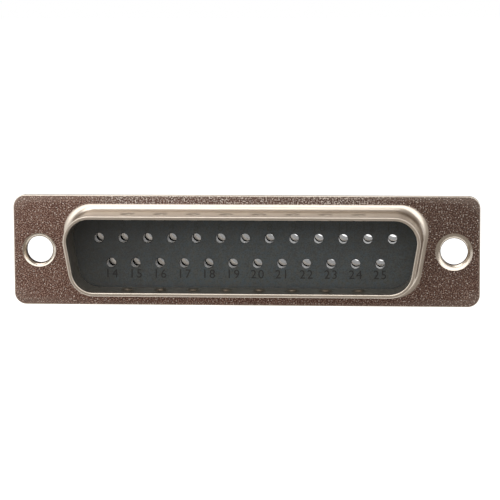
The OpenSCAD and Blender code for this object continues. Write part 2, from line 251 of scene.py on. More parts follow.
class StageSizes(bpy.types.PropertyGroup):
    """Camera, lamp, floor and what the metal reflects"""

    distance: length("Distance", "Distance of the camera from where it aims", 0.27383)
    azimuth: FloatProperty(
        name="Azimuth",
        description="Camera's angle round the object, from straight in front",
        default=math.radians(4.975),
        subtype="ANGLE",
    )
    elevation: FloatProperty(
        name="Elevation",
        description="Camera's angle above the horizon",
        default=math.radians(7.083),
        subtype="ANGLE",
    )
    roll: FloatProperty(
        name="Roll",
        description="Camera's turn about its line of sight",
        default=math.radians(-0.29),
        subtype="ANGLE",
    )
    lens: FloatProperty(name="Lens", description="Focal length", default=174.55, unit="CAMERA")
    aim: FloatVectorProperty(
        name="Aim",
        description="Point that the camera aims at",
        default=(0.00055, 0.0, 0.00010),
        subtype="TRANSLATION",
    )
    floor_drop: length("Floor drop", "Depth of the floor below the object's centre", 0.06)
    floor_reach: length("Floor reach", "Half the side of the floor", 3.0)
    floor_glow: FloatProperty(
        name="Floor glow", description="Glow of the floor where it is seen", default=0.45
    )
    room_distance: length("Room", "Distance of the studio's dim wall", 0.6)
    sky: FloatProperty(name="Sky", description="Strength of the soft light all round", default=0.85)
    box_glow: FloatProperty(
        name="Soft box", description="Brightness of the soft box in the metal", default=1.7
    )
    key_power: FloatProperty(name="Key", description="Power of the lamp overhead", default=1.0)
    key_size: length("Key size", "Side of the square lamp overhead", 0.35)
    key_place: FloatVectorProperty(
        name="Key place",
        description="Place of the lamp overhead",
        default=(-0.12, -0.10, 0.45),
        subtype="TRANSLATION",
    )


GROUPS = {
    "dsub_shell": ShellSizes,
    "dsub_dimple": DimpleSizes,
    "dsub_insulator": InsulatorSizes,
    "dsub_eyelet": EyeletSizes,
    "dsub_finish": FinishColours,
    "dsub_stage": StageSizes,
}


# --- outlines ----------------------------------------------------------------------------


def arc(centre, radius, start, end, steps):
    """Points of an arc about centre, from start to end in degrees."""
    angles = [math.radians(start + (end - start) * i / steps) for i in range(steps + 1)]
    x, y = centre
    return [Vector((x + radius * math.cos(a), y + radius * math.sin(a))) for a in angles]


def d_outline(width, height, corner, slope, out=0.0, columns=(), tighten=0.0):
    """A D: two level sides, two sides that slope in towards the bottom, and four corners.

    columns are points along the level sides, each with how far the wall is pressed in there.
    tighten is how much smaller the corners are than those of an even offset.
    """
    top = Vector((width / 2 - corner + tighten, height / 2 - corner + tighten))
    low = Vector((top.x - (height - 2 * corner + 2 * tighten) * math.tan(slope), -top.y))
    tilt = math.degrees(slope)
    radius = corner + out - tighten
    level = height / 2 + out
    return (
        arc(low, radius, -90, -tilt, CORNER_STEPS)
        + arc(top, radius, -tilt, 90, CORNER_STEPS)
        + [Vector((x, level - dent)) for x, dent in reversed(columns)]
        + arc((-top.x, top.y), radius, 90, 180 + tilt, CORNER_STEPS)
        + arc((-low.x, low.y), radius, 180 + tilt, 270, CORNER_STEPS)
        + [Vector((x, dent - level)) for x, dent in columns]
    )


def flange_outline(inset=0.0):
    """The flange's rectangle with round corners."""
    corner = settings().dsub_shell.corner
    x = FRONT_HIGH[0] - corner
    z = FRONT_HIGH[2] - corner
    radius = corner - inset
    return (
        arc((x, -z), radius, -90, 0, CORNER_STEPS)
        + arc((x, z), radius, 0, 90, CORNER_STEPS)
        + arc((-x, z), radius, 90, 180, CORNER_STEPS)
        + arc((-x, -z), radius, 180, 270, CORNER_STEPS)
    )


def circle(centre, radius, steps=HOLE_STEPS):
    """Points of a circle, none of them twice."""
    return arc(centre, radius, 0, 360, steps)[:-1]


def settings():
    """The scene, which holds every property group."""
    return bpy.context.scene


# --- mesh building -----------------------------------------------------------------------


def ring(mesh, outline, y):
    """Vertices of an outline in the plane at depth y."""
    return [mesh.verts.new((p.x, y, p.y)) for p in outline]


def bridge(mesh, first, second, material=0):
    """Quads from one ring to the next, in the piece's material of that number."""
    for i, vertex in enumerate(first):
        j = (i + 1) % len(first)
        face = mesh.faces.new((vertex, first[j], second[j], second[i]))
        face.smooth = True
        face.material_index = material


def sweep(mesh, rings, materials=None):
    """Quads through the rings, where materials may give a number for each strip."""
    for i, (first, second) in enumerate(zip(rings, rings[1:])):
        bridge(mesh, first, second, materials[i] if materials else 0)


def flat_face(mesh, outer, holes):
    """A level face inside the outer ring, with a hole at each other ring."""
    loops = [outer] + holes
    vertices = [v for loop in loops for v in loop]
    flat = [[Vector((v.co.x, v.co.z, 0)) for v in loop] for loop in loops]
    for corners in tessellate_polygon(flat):
        face = mesh.faces.new([vertices[i] for i in corners])
        face.smooth = False


def finish_piece(mesh, name, materials, nodes=()):
    """Turns the mesh into a piece that stands for the nodes and rides on the object."""
    bmesh.ops.recalc_face_normals(mesh, faces=mesh.faces)
    data = bpy.data.meshes.new(name)
    mesh.to_mesh(data)
    mesh.free()
    data.set_sharp_from_angle(angle=SHARP_ANGLE)
    for material in materials:
        data.materials.append(material)
    piece = bpy.data.objects.new(name, data)
    bpy.context.scene.collection.objects.link(piece)
    if nodes:
        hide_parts(*nodes)
    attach(piece, "root")
    return piece


def lathe(mesh, centre, profile, materials):
    """A closed ring turned about the line along Y through centre, from [radius, depth] points."""
    rings = []
    for radius, depth in profile:
        rings.append(ring(mesh, circle(centre, radius, LATHE_STEPS), depth))
    sweep(mesh, rings + rings[:1], materials)


def contact_places():
    """Centres of the contacts, from the left of the long row, then of the short row."""
    sizes = settings().dsub_insulator
    places = []
    for count, z in ((LONG_ROW, sizes.row_spacing / 2), (LONG_ROW - 1, -sizes.row_spacing / 2)):
        for i in range(count):
            places.append(Vector(((i - (count - 1) / 2) * sizes.pitch, z)))
    return places


# --- materials ---------------------------------------------------------------------------


def add(tree, kind, values=None, **attributes):
    """A node with its attributes and the values of its inputs set."""
    node = tree.nodes.new(kind)
    for name, value in attributes.items():
        setattr(node, name, value)
    for name, value in (values or {}).items():
        node.inputs[name].default_value = value
    return node


def rgba(value):
    """A colour as a socket takes it, with an alpha of 1."""
    return (value[0], value[1], value[2], 1.0)


def new_group(name, inputs, outputs):
    """A shader node group with float inputs and outputs."""
    group = bpy.data.node_groups.new(name, "ShaderNodeTree")
    for socket, value in inputs.items():
        made = group.interface.new_socket(socket, in_out="INPUT", socket_type="NodeSocketFloat")
        made.default_value = value
    for socket in outputs:
        group.interface.new_socket(socket, in_out="OUTPUT", socket_type="NodeSocketFloat")
    return group, add(group, "NodeGroupInput"), add(group, "NodeGroupOutput")


def noise(group, place, scale, detail, roughness=0.6):
    """The value of a noise texture over place. Scale is a number or a socket."""
    node = add(group, "ShaderNodeTexNoise", {"Detail": detail, "Roughness": roughness})
    group.links.new(place, node.inputs["Vector"])
    if isinstance(scale, bpy.types.NodeSocket):
        group.links.new(scale, node.inputs["Scale"])
    else:
        node.inputs["Scale"].default_value = scale
    return node.outputs["Fac"]


def plating_grain():
    """The fine grain of a plated sheet.

    Height is for a bump, Fleck is 1 where a grain is bright, Glint on the few painted as glints,
    Lit grain on the grains in the painted light above the shroud, and Cloud varies broadly.
    """
    if "plating_grain" in bpy.data.node_groups:
        return bpy.data.node_groups["plating_grain"]
    group, given, result = new_group(
        "plating_grain",
        {"Grain scale": GRAIN_WAVES, "Fleck from": 0.46, "Fleck to": 0.66},
        ("Height", "Fleck", "Glint", "Lit grain", "Cloud"),
    )
    place = add(group, "ShaderNodeTexCoord").outputs["Object"]
    grain = noise(group, place, given.outputs["Grain scale"], 1.0, 0.5)
    fleck = add(group, "ShaderNodeMapRange", interpolation_type="SMOOTHSTEP")
    group.links.new(given.outputs["Fleck from"], fleck.inputs["From Min"])
    group.links.new(given.outputs["Fleck to"], fleck.inputs["From Max"])
    group.links.new(grain, fleck.inputs["Value"])
    # painted glints: a few grains coloured near-white to stand for the light's sparkle
    glint = ranged(group, noise(group, place, GLINT_WAVES, 0.0, 0.5), (0.66, 0.80))
    # grain within the painted light above the shroud
    lit_grain = ranged(group, noise(group, place, STRIP_GRAIN_WAVES, 1.0, 0.5), (0.47, 0.66))
    group.links.new(grain, result.inputs["Height"])
    group.links.new(fleck.outputs["Result"], result.inputs["Fleck"])
    group.links.new(glint, result.inputs["Glint"])
    group.links.new(lit_grain, result.inputs["Lit grain"])
    group.links.new(noise(group, place, PLATING_WAVES, 3.0, 0.65), result.inputs["Cloud"])
    return group


def moulded_skin():
    """The skin of a moulding: Height for a bump, Dust and light, where it is paler, and Tint, its
    hue.

    Its paleness is real dust mottled at random, and painted light that lies thicker below, with
    painted shade along the top and at the left end.
    """
    if "moulded_skin" in bpy.data.node_groups:
        return bpy.data.node_groups["moulded_skin"]
    group, given, result = new_group(
        "moulded_skin", {"Skin scale": SKIN_WAVES, "Mottle": 0.5}, ("Height", "Dust and light", "Tint")
    )
    point, place = object_place(group)
    skin = noise(group, point, given.outputs["Skin scale"], 2.0)
    cloud = noise(group, point, BLOOM_WAVES, 4.0, 0.7)
    speck = add(group, "ShaderNodeMapRange", {"From Min": 0.3, "From Max": 0.7})
    group.links.new(skin, speck.inputs["Value"])
    for socket, spread in (("To Min", 0.4), ("To Max", 1.6)):
        mottled = between(group, given.outputs["Mottle"], 1.0, spread)
        group.links.new(mottled, speck.inputs[socket])
    # painted light and shade by place, times real dust and random mottling
    dust_and_light = product(
        group,
        ranged(group, place["Z"], PAINTED_LIGHT_Z, (0.36, 1.0)),
        ranged(group, place["X"], PAINTED_SHADE_LEFT_X, (0.40, 1.0)),
        ranged(group, place["X"], PAINTED_SHADE_RIGHT_X, (1.0, 0.76)),
        ranged(group, cloud, (0.30, 0.70), (0.74, 1.26)),
        speck.outputs["Result"],
    )
    tint = ranged(group, noise(group, point, TINT_WAVES, 2.0), (0.35, 0.65))
    group.links.new(skin, result.inputs["Height"])
    group.links.new(dust_and_light, result.inputs["Dust and light"])
    group.links.new(tint, result.inputs["Tint"])
    return group


def new_material(name):
    """A material, its node tree and its shader."""
    material = bpy.data.materials.new(name)
    material.use_nodes = True
    tree = material.node_tree
    return material, tree, tree.nodes["Principled BSDF"]


def mix_colour(tree, factor, first, second):
    """A colour mixed from first to second. Each is a socket or a plain colour."""
    node = add(tree, "ShaderNodeMix", data_type="RGBA")
    tree.links.new(factor, node.inputs["Factor"])
    for value, place in zip((first, second), MIX_COLOURS):
        if isinstance(value, bpy.types.NodeSocket):
            tree.links.new(value, node.inputs[place])
        else:
            node.inputs[place].default_value = rgba(value)
    return node.outputs[MIXED]


def bump(tree, shader, height, strength, distance):
    """Raises the shader's surface where the height is great, by up to the distance."""
    node = add(tree, "ShaderNodeBump", {"Strength": strength, "Distance": distance})
    tree.links.new(height, node.inputs["Height"])
    tree.links.new(node.outputs["Normal"], shader.inputs["Normal"])


def ranged(tree, value, span, to=(0.0, 1.0)):
    """A value that goes through the range to while the given one goes through the span."""
    node = add(
        tree,
        "ShaderNodeMapRange",
        {"From Min": span[0], "From Max": span[1], "To Min": to[0], "To Max": to[1]},
    )
    tree.links.new(value, node.inputs["Value"])
    return node.outputs["Result"]


def between(tree, share, first, second):
    """The first value where the share is 0, the second where it is 1."""
    return ranged(tree, share, (0.0, 1.0), (first, second))


def product(tree, first, *others):
    """The product of all the values."""
    for other in others:
        node = add(tree, "ShaderNodeMath", operation="MULTIPLY")
        tree.links.new(first, node.inputs[0])
        tree.links.new(other, node.inputs[1])
        first = node.outputs[0]
    return first


def object_place(tree):
    """A point on the object: the whole of it as a socket, and X, Y and Z as sockets by name."""
    point = add(tree, "ShaderNodeTexCoord").outputs["Object"]
    parts = add(tree, "ShaderNodeSeparateXYZ")
    tree.links.new(point, parts.inputs[0])
    return point, parts.outputs


def flat_front(tree, place):
    """1 on the flange's flat that faces the mating side and takes a painted reflection, 0 on the
    drawn walls.
    """
    here = add(tree, "ShaderNodeNewGeometry")
    facing = add(tree, "ShaderNodeSeparateXYZ")
    tree.links.new(here.outputs["Normal"], facing.inputs[0])
    return product(
        tree,
        ranged(tree, facing.outputs["Y"], FLAT_FACING),
        ranged(tree, place["Y"], FLAT_Y),
    )


def burnished(tree, place, cloud):
    """Up to 1 on the narrow strip of flange above the shroud, where painted light stands for light
    bounced off the shroud's top wall.
    """
    middle = add(tree, "ShaderNodeMath", operation="ABSOLUTE")
    tree.links.new(place["X"], middle.inputs[0])
    return product(
        tree,
        ranged(tree, place["Z"], STRIP_Z),
        ranged(tree, middle.outputs[0], STRIP_X),
        ranged(tree, place["X"], STRIP_FADE_X, (1.0, 0.8)),
        ranged(tree, cloud, (0.40, 0.60), (0.40, 1.0)),
    )


def steel_front(colours):
    """Plated steel: bright on the drawn walls; on the flat of the flange, speckled with real grain
    over a dull brown that is a painted reflection of the dim room in front.
    """
    material, tree, shader = new_material("plated_steel_front")
    grain = add(tree, "ShaderNodeGroup", node_tree=plating_grain()).outputs
    cloud = grain["Cloud"]
    _, place = object_place(tree)
    flat = flat_front(tree, place)
    # painted shade: darker towards the right end, and most of all in the upper half
    end = product(
        tree,
        ranged(tree, place["X"], FLANGE_SHADE_X),
        ranged(tree, place["Z"], FLANGE_SHADE_Z, (0.6, 1.0)),
    )
    reflected_brown = mix_colour(tree, end, colours.flange, colours.flange_dark)
    fleck = mix_colour(tree, end, colours.fleck, colours.fleck_dark)
    patch = ranged(tree, cloud, (0.30, 0.70), (0.62, 1.0))
    speckled = mix_colour(tree, product(tree, grain["Fleck"], patch), reflected_brown, fleck)
    # painted glints on a few grains
    speckled = mix_colour(tree, grain["Glint"], speckled, colours.burnish)
    # painted light on the strip of flange above the shroud
    lit_strip = mix_colour(tree, grain["Lit grain"], reflected_brown, colours.burnish)
    speckled = mix_colour(tree, burnished(tree, place, cloud), speckled, lit_strip)
    clouded = ranged(tree, cloud, (0.25, 0.75), (0.0, 0.5))
    wall = mix_colour(tree, clouded, colours.nickel, colours.rear)
    tree.links.new(mix_colour(tree, flat, wall, speckled), shader.inputs["Base Color"])
    roughness = between(tree, flat, WALL_ROUGHNESS, FLAT_ROUGHNESS)
    tree.links.new(roughness, shader.inputs["Roughness"])
    tree.links.new(between(tree, flat, 1.0, FLAT_METALLIC), shader.inputs["Metallic"])
    height = product(tree, grain["Height"], between(tree, flat, 0.1, 1.0))
    bump(tree, shader, height, strength=0.4, distance=0.00002)
    return material


def steel_plain(name, base, shade, roughness):
    """Plated metal with a fine grain and cloudy patches."""
    material, tree, shader = new_material(name)
    grain = add(tree, "ShaderNodeGroup", node_tree=plating_grain()).outputs
    tree.links.new(mix_colour(tree, grain["Cloud"], base, shade), shader.inputs["Base Color"])
    rough = ranged(tree, grain["Cloud"], (0.3, 0.7), (roughness - 0.05, roughness + 0.08))
    tree.links.new(rough, shader.inputs["Roughness"])
    shader.inputs["Metallic"].default_value = 1.0
    bump(tree, shader, grain["Height"], strength=0.25, distance=0.00001)
    return material


def black_plastic(colours):
    """Black moulding with a faint bloom of dust, and painted light that makes it paler lower down.
    """
    if "black_moulding" in bpy.data.materials:
        return bpy.data.materials["black_moulding"]
    material, tree, shader = new_material("black_moulding")
    group = add(tree, "ShaderNodeGroup", {"Mottle": 1.0}, node_tree=moulded_skin())
    skin = group.outputs
    dust_and_light = mix_colour(tree, skin["Tint"], colours.plastic_worn, colours.plastic_blue)
    base = mix_colour(tree, skin["Dust and light"], colours.plastic, dust_and_light)
    tree.links.new(base, shader.inputs["Base Color"])
    tree.links.new(between(tree, skin["Dust and light"], 0.42, 0.60), shader.inputs["Roughness"])
    bump(tree, shader, skin["Height"], strength=0.3, distance=0.00001)
    return material


def plastic_finish(name, base, roughness, gloss):
    """Black moulding with a finish of its own, a little paler where the skin has dust and painted
    light.
    """
    material, tree, shader = new_material(name)
    skin = add(tree, "ShaderNodeGroup", node_tree=moulded_skin())
    lit_and_dusty = [DUST_AND_LIGHT_GAIN * value for value in base]
    tree.links.new(mix_colour(tree, skin.outputs["Dust and light"], base, lit_and_dusty), shader.inputs["Base Color"])
    shader.inputs["Roughness"].default_value = roughness
    shader.inputs["Specular IOR Level"].default_value = gloss
    return material


def bare_bore(colours):
    """The inside of an eyelet's bore, coloured dark as painted shade."""
    material, tree, shader = new_material("bare_bore")
    grain = add(tree, "ShaderNodeGroup", node_tree=plating_grain())
    base = mix_colour(tree, grain.outputs["Cloud"], colours.bore, colours.flange)
    tree.links.new(base, shader.inputs["Base Color"])
    shader.inputs["Roughness"].default_value = 0.7
    shader.inputs["Metallic"].default_value = 0.6
    return material


# --- pieces ------------------------------------------------------------------------------


def eyelet_centres():
    """Centres of the left and the right eyelet."""
    return [
        Vector(((low[0] + high[0]) / 2, 0.0))
        for low, high in ((LEFT_LOW, LEFT_HIGH), (RIGHT_LOW, RIGHT_HIGH))
    ]


def collar_size():
    """Outside width and height of the collar, from the rear insulator that it holds."""
    inside = settings().dsub_shell.sheet + settings().dsub_insulator.gap
    return (
        BLOCK_HIGH[0] - BLOCK_LOW[0] + 2 * inside,
        BLOCK_HIGH[2] - BLOCK_LOW[2] + 2 * inside,
    )


def pierced_sheet(mesh, front_y, back_y, front_inner, back_inner):
    """The flat of a flange, from its outer edge to the rings of the drawn wall."""
    sizes = settings().dsub_shell
    eyelet = settings().dsub_eyelet
    rounded = arc((sizes.edge, front_y + sizes.edge), sizes.edge, -90, -180, EDGE_STEPS)
    rounded += arc((sizes.edge, back_y - sizes.edge), sizes.edge, 180, 90, EDGE_STEPS)
    outer = [ring(mesh, flange_outline(inset), y) for inset, y in rounded]
    sweep(mesh, outer)
    fronts = []
    backs = []
    for centre in eyelet_centres():
        outline = circle(centre, eyelet.bore + eyelet.wall + eyelet.clearance)
        fronts.append(ring(mesh, outline, front_y))
        backs.append(ring(mesh, outline, back_y))
        bridge(mesh, fronts[-1], backs[-1])
    flat_face(mesh, outer[0], fronts + [front_inner])
    flat_face(mesh, outer[-1], backs + [back_inner])


def dimple_shift(x, y):
    """How far a long wall is pressed in at x, y."""
    sizes = settings().dsub_dimple
    nearest = round(x / sizes.pitch + (sizes.count - 1) / 2)
    nearest = min(max(nearest, 0), sizes.count - 1)
    centre = (nearest - (sizes.count - 1) / 2) * sizes.pitch
    away = math.hypot(x - centre, y + sizes.height) / sizes.radius
    if away >= 1:
        return 0.0
    ease = min(1.0, (1 - away) / sizes.flank)
    return sizes.depth * ease * ease * (3 - 2 * ease)


def dimple_columns(y):
    """Points along the shroud's long walls at depth y, each with how far it is pressed in."""
    sizes = settings().dsub_dimple
    reach = (sizes.count - 1) / 2 * sizes.pitch + sizes.radius
    steps = round(2 * reach / WALL_STEP)
    places = [reach * (2 * i / steps - 1) for i in range(steps + 1)]
    return [(x, dimple_shift(x, y)) for x in places]


def straight(start, end, step):
    """The points between two ends, neither of them included, about a step apart."""
    parts = round((end - start).length / step)
    return [start.lerp(end, i / parts) for i in range(1, parts)]


class DSUB_OT_front_shell(bpy.types.Operator):
    """Build the drawn front shell with its shroud and dimples"""

    bl_idname = "dsub.front_shell"
    bl_label = "Front shell"

    def execute(self, context):
        sizes = settings().dsub_shell
        sheet = sizes.sheet
        foot = -sizes.shroud_bend
        top = FRONT_LOW[1] + sizes.rim
        bend = (sheet + sizes.shroud_bend, foot)
        section = arc(bend, sizes.shroud_bend, 90, 180, BEND_STEPS)
        section += straight(Vector((sheet, foot)), Vector((sheet, top)), WALL_STEP)
        section += arc((sheet - sizes.rim, top), sizes.rim, 0, -90, RIM_STEPS)
        section += arc((sizes.rim, top), sizes.rim, -90, -180, RIM_STEPS)
        section += straight(Vector((0.0, top)), Vector((0.0, foot)), WALL_STEP)
        section += arc(bend, sheet + sizes.shroud_bend, 180, 90, BEND_STEPS)
        shape = (sizes.shroud_width, sizes.shroud_height, sizes.shroud_corner, sizes.slope)
        mesh = bmesh.new()
        rings = []
        for out, y in section:
            tighten = (1 - sizes.corner_spread) * max(0.0, out - sheet)
            rings.append(ring(mesh, d_outline(*shape, out, dimple_columns(y), tighten), y))
        sweep(mesh, rings)
        pierced_sheet(mesh, 0.0, sheet, rings[0], rings[-1])
        material = steel_front(settings().dsub_finish)
        finish_piece(mesh, "front_shell_drawn", [material], ["front_shell"])
        return {"FINISHED"}


class DSUB_OT_rear_shell(bpy.types.Operator):
    """Build the drawn rear shell with its turned-in collar"""

    bl_idname = "dsub.rear_shell"
    bl_label = "Rear shell"

    def execute(self, context):
        sizes = settings().dsub_shell
        front_y = REAR_LOW[1]
        back_y = front_y + sizes.sheet
        end_y = REAR_HIGH[1]
        width, height = collar_size()
        bend = (sizes.collar_bend, back_y + sizes.collar_bend)
        lip = (-sizes.lip_radius, end_y - sizes.lip_radius)
        inner = sizes.lip_radius - sizes.sheet
        section = arc(bend, sizes.collar_bend, -90, -180, BEND_STEPS)
        section += arc(lip, sizes.lip_radius, 0, 90, BEND_STEPS)
        section += [
            Vector((-sizes.sheet - sizes.lip, end_y)),
            Vector((-sizes.sheet - sizes.lip, end_y - sizes.sheet)),
        ]
        section += arc(lip, inner, 90, 0, BEND_STEPS)
        section += arc(bend, sizes.collar_bend + sizes.sheet, 180, 270, BEND_STEPS)
        mesh = bmesh.new()
        rings = [
            ring(mesh, d_outline(width, height, sizes.collar_corner, sizes.slope, out), y)
            for out, y in section
        ]
        sweep(mesh, rings)
        pierced_sheet(mesh, front_y, back_y, rings[-1], rings[0])
        colours = settings().dsub_finish
        material = steel_plain("plated_steel_rear", colours.rear, colours.nickel, 0.3)
        finish_piece(mesh, "rear_shell_drawn", [material], ["rear_shell"])
        return {"FINISHED"}


def funnel(bore, flare, rim_y, depth):
    """Section of a flared mouth, steep where it leaves the bore and nearly flat at its rim."""
    start = Vector((bore, rim_y + depth))
    bend = Vector((bore + MOUTH_BEND * flare, rim_y + MOUTH_BEND * depth))
    end = Vector((bore + flare, rim_y))
    steps = [i / BEND_STEPS for i in range(BEND_STEPS + 1)]
    return [start.lerp(bend, t).lerp(bend.lerp(end, t), t) for t in steps]


class DSUB_OT_eyelets(bpy.types.Operator):
    """Build the two hollow rivets"""

    bl_idname = "dsub.eyelets"
    bl_label = "Eyelets"

    def execute(self, context):
        sizes = settings().dsub_eyelet
        colours = settings().dsub_finish
        material = steel_plain("plated_eyelet", colours.nickel, colours.rear, 0.2)
        inside = bare_bore(colours)
        flares = (sizes.left_flare, sizes.right_flare)
        ends = ((LEFT_LOW, LEFT_HIGH), (RIGHT_LOW, RIGHT_HIGH))
        names = ("eyelet_left", "eyelet_right")
        for name, centre, flare, (low, high) in zip(names, eyelet_centres(), flares, ends):
            rim_y = low[1]
            end_y = high[1]
            head_radius = high[0] - centre.x
            edge = sizes.head / 2
            tube = sizes.bore + sizes.wall
            profile = funnel(sizes.bore, flare, rim_y, sizes.flare_depth)
            profile += [
                (sizes.bore + flare, 0.0),
                (tube, 0.0),
                (tube, end_y - sizes.head),
            ]
            profile += arc((head_radius - edge, end_y - edge), edge, -90, 90, BEND_STEPS)
            profile.append((sizes.bore, end_y))
            mesh = bmesh.new()
            # the last strip, the bore's inside, takes the painted shade
            strips = [0] * (len(profile) - 1) + [1]
            lathe(mesh, centre, profile, strips)
            finish_piece(mesh, name + "_turned", [material, inside], [name])
        return {"FINISHED"}


def contact_bores(mesh, section, steps, materials):
    """A bore at every contact from [radius, depth] points, as its front and its back rings."""
    fronts = []
    backs = []
    for place in contact_places():
        bore = [ring(mesh, circle(place, radius, steps), y) for radius, y in section]
        sweep(mesh, bore, materials)
        fronts.append(bore[0])
        backs.append(bore[-1])
    return fronts, backs


class DSUB_OT_front_insulator(bpy.types.Operator):
    """Build the front insulator with its nose and pin bores"""

    bl_idname = "dsub.front_insulator"
    bl_label = "Front insulator"

    def execute(self, context):
        shell = settings().dsub_shell
        sizes = settings().dsub_insulator
        colours = settings().dsub_finish
        nose = (shell.shroud_width, shell.shroud_height, shell.shroud_corner, shell.slope)
        collar = (*collar_size(), shell.collar_corner, shell.slope)
        shoulder = -shell.sheet - sizes.gap
        face_y = NOSE_LOW[1]
        step_y = shell.sheet
        back_y = NOSE_HIGH[1]
        mesh = bmesh.new()
        rings = [
            ring(mesh, d_outline(*nose, sizes.nose_out), face_y),
            ring(mesh, d_outline(*nose, sizes.nose_out), step_y),
            ring(mesh, d_outline(*collar, shoulder), step_y),
            ring(mesh, d_outline(*collar, shoulder), back_y),
        ]
        sweep(mesh, rings)
        bore = [
            (sizes.bore + sizes.bore_chamfer, face_y),
            (sizes.bore, face_y + sizes.bore_chamfer),
            (sizes.bore, face_y + (back_y - face_y) * sizes.polish),
            (sizes.bore, back_y),
        ]
        # the last strip of each bore takes the painted shade
        fronts, backs = contact_bores(mesh, bore, BORE_STEPS, [0, 1, 2])
        flat_face(mesh, rings[0], fronts)
        flat_face(mesh, rings[-1], backs)
        materials = [
            black_plastic(colours),
            plastic_finish("polished_bore", colours.plastic, 0.16, 0.8),
            plastic_finish("matt_bore", colours.matt_bore, 0.95, 0.0),
        ]
        finish_piece(mesh, "front_insulator_moulded", materials, ["front_insulator"])
        return {"FINISHED"}


class DSUB_OT_rear_insulator(bpy.types.Operator):
    """Build the rear insulator with its clip pockets and guide bores"""

    bl_idname = "dsub.rear_insulator"
    bl_label = "Rear insulator"

    def execute(self, context):
        colours = settings().dsub_finish
        shell = settings().dsub_shell
        sizes = settings().dsub_insulator
        width, height = collar_size()
        front_y = BLOCK_LOW[1]
        back_y = BLOCK_HIGH[1]
        seat_y = REAR_HIGH[1] - shell.sheet
        round_y = seat_y - (shell.lip_radius - shell.sheet)
        shoulder = -shell.sheet - sizes.gap
        body = -shell.sheet - shell.lip - sizes.gap
        mesh = bmesh.new()
        rings = [
            ring(mesh, d_outline(width, height, shell.collar_corner, shell.slope, out), y)
            for out, y in (
                (shoulder, front_y),
                (shoulder, round_y),
                (-shell.lip_radius, seat_y),
                (body, seat_y),
                (body, back_y - sizes.back_chamfer),
                (body - sizes.back_chamfer, back_y),
            )
        ]
        sweep(mesh, rings)
        # A clip has the same gap at both its ends
        pocket_y = CLIP_HIGH[1] + (CLIP_LOW[1] - front_y)
        bore = [
            (sizes.pocket_radius, front_y),
            (sizes.pocket_radius, pocket_y),
            (sizes.guide_radius, pocket_y),
            (sizes.guide_radius, back_y - sizes.guide_chamfer),
            (sizes.guide_radius + sizes.guide_chamfer, back_y),
        ]
        fronts, backs = contact_bores(mesh, bore, HOLE_STEPS, [0, 0, 1, 0])
        flat_face(mesh, rings[0], fronts)
        flat_face(mesh, rings[-1], backs)
        guide = plastic_finish("satin_guide", colours.plastic, 0.28, 0.35)
        materials = [black_plastic(colours), guide]
        finish_piece(mesh, "rear_insulator_moulded", materials, ["rear_insulator"])
        return {"FINISHED"}


class DSUB_OT_contact_numbers(bpy.types.Operator):
    """Raise the contact numbers on the front insulator"""

    bl_idname = "dsub.contact_numbers"
    bl_label = "Contact numbers"

    def execute(self, context):
        sizes = settings().dsub_insulator
        face_y = NOSE_LOW[1]
        mesh = bmesh.new()
        for number, place in enumerate(contact_places(), start=1):
            side = 1 if number <= LONG_ROW else -1
            text = bpy.data.curves.new("digits", "FONT")
            text.body = str(number)
            text.size = sizes.digit_height / FIGURE_HEIGHT
            text.space_character = FIGURE_SPACE
            text.align_x = "CENTER"
            text.align_y = "CENTER"
            text.resolution_u = FIGURE_STEPS
            text.extrude = sizes.digit_relief
            writer = bpy.data.objects.new("digits", text)
            bpy.context.scene.collection.objects.link(writer)
            shape = bpy.data.meshes.new_from_object(writer)
            up = Matrix.Rotation(math.radians(90), 4, "X")
            at = Matrix.Translation((place.x, face_y, place.y + side * sizes.digit_drop))
            shape.transform(at @ up)
            before = len(mesh.faces)
            mesh.from_mesh(shape)
            mesh.faces.ensure_lookup_table()
            for face in mesh.faces[before:]:
                # the upper row takes the painted-shade copy
                face.material_index = 0 if side > 0 else 1
            bpy.data.objects.remove(writer)
            bpy.data.curves.remove(text)
            bpy.data.meshes.remove(shape)
        colours = settings().dsub_finish
        # painted shade: a lower-contrast copy of the moulding for the upper row's numbers
        shaded_figure = Vector(colours.plastic).lerp(Vector(colours.plastic_worn), UPPER_ROW_SHADE)
        materials = [
            plastic_finish("number_shaded", shaded_figure, 0.6, 0.3),
            plastic_finish("number_dark", colours.plastic, 0.6, 0.3),
        ]
        finish_piece(mesh, "contact_numbers", materials)
        return {"FINISHED"}


class DSUB_OT_clips(bpy.types.Operator):
    """Give the retention clips their finish"""

    bl_idname = "dsub.clips"
    bl_label = "Clips"

    def execute(self, context):
        colours = settings().dsub_finish
        material = steel_plain("tinned_clip", colours.clip, colours.clip, 0.46)
        for name in CLIPS:
            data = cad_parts[name].data
            data.materials.clear()
            data.materials.append(material)
        return {"FINISHED"}


# --- stage -------------------------------------------------------------------------------


def seen_directly(tree):
    """1 for rays that show the surroundings: straight, in metal or through a clear piece."""
    path = add(tree, "ShaderNodeLightPath")
    total = path.outputs["Is Camera Ray"]
    for other in ("Is Glossy Ray", "Is Transmission Ray"):
        node = add(tree, "ShaderNodeMath", operation="MAXIMUM")
        tree.links.new(total, node.inputs[0])
        tree.links.new(path.outputs[other], node.inputs[1])
        total = node.outputs[0]
    return total


def white_world(strength):
    """A white backdrop, which lights the object with the given strength."""
    world = bpy.data.worlds.new("studio")
    world.use_nodes = True
    tree = world.node_tree
    background = tree.nodes["Background"]
    background.inputs["Color"].default_value = (1, 1, 1, 1)
    shown = between(tree, seen_directly(tree), strength, 1.0)
    tree.links.new(shown, background.inputs["Strength"])
    bpy.context.scene.world = world


def level_sheet(left, right, far, near, z):
    """Corners of a level sheet."""
    return [(left, far, z), (right, far, z), (right, near, z), (left, near, z)]


def upright_sheet(left, right, y, low, high):
    """Corners of an upright sheet that faces the object."""
    return [(left, y, low), (right, y, low), (right, y, high), (left, y, high)]


